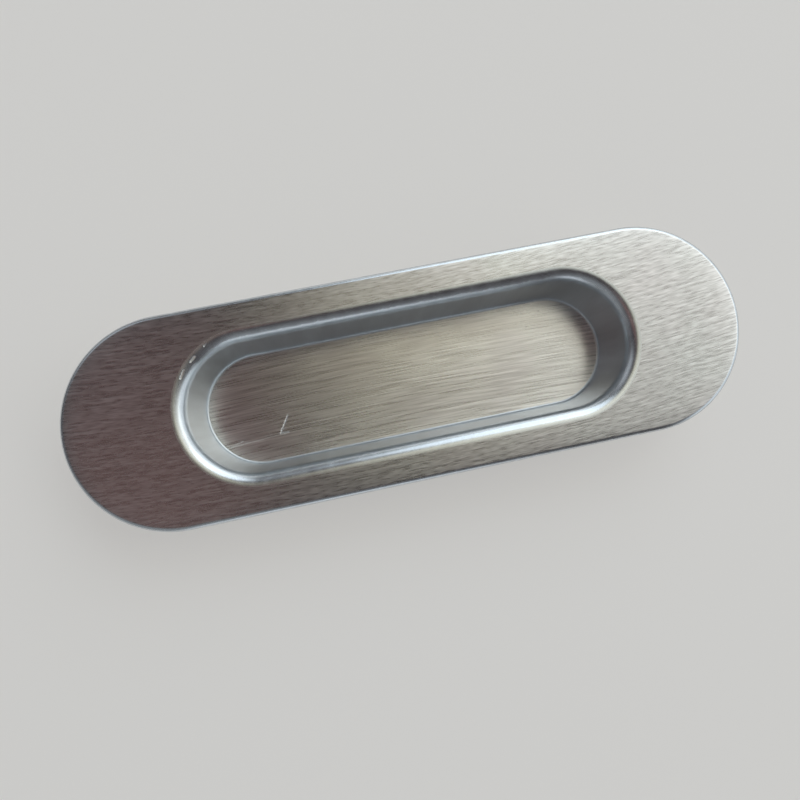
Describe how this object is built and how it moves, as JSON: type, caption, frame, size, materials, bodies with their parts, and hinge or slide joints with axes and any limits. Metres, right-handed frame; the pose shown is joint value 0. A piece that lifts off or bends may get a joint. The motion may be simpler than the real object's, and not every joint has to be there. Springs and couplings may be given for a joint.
{
  "type": "recessed pull handle",
  "caption": "Flush finger pull pressed from one brushed steel sheet: a flat round-ended flange with a turned-down rim around a long drawn finger recess with a rolled lip.",
  "frame": {"origin": "centre of the cup's flat underside, in the plane that it rests on", "axes": "+X along the handle, +Y across it, +Z out of the door through the mouth of the finger recess"},
  "size_m": [0.13, 0.04, 0.014],
  "materials": {
    "steel_sheet": "stainless sheet, fine straight brushing along the flange and the recess floor, smoother satin on the lip and the wall"
  },
  "bodies": {
    "root": {"pressed_shell": "steel_sheet"}
  },
  "joints": []
}
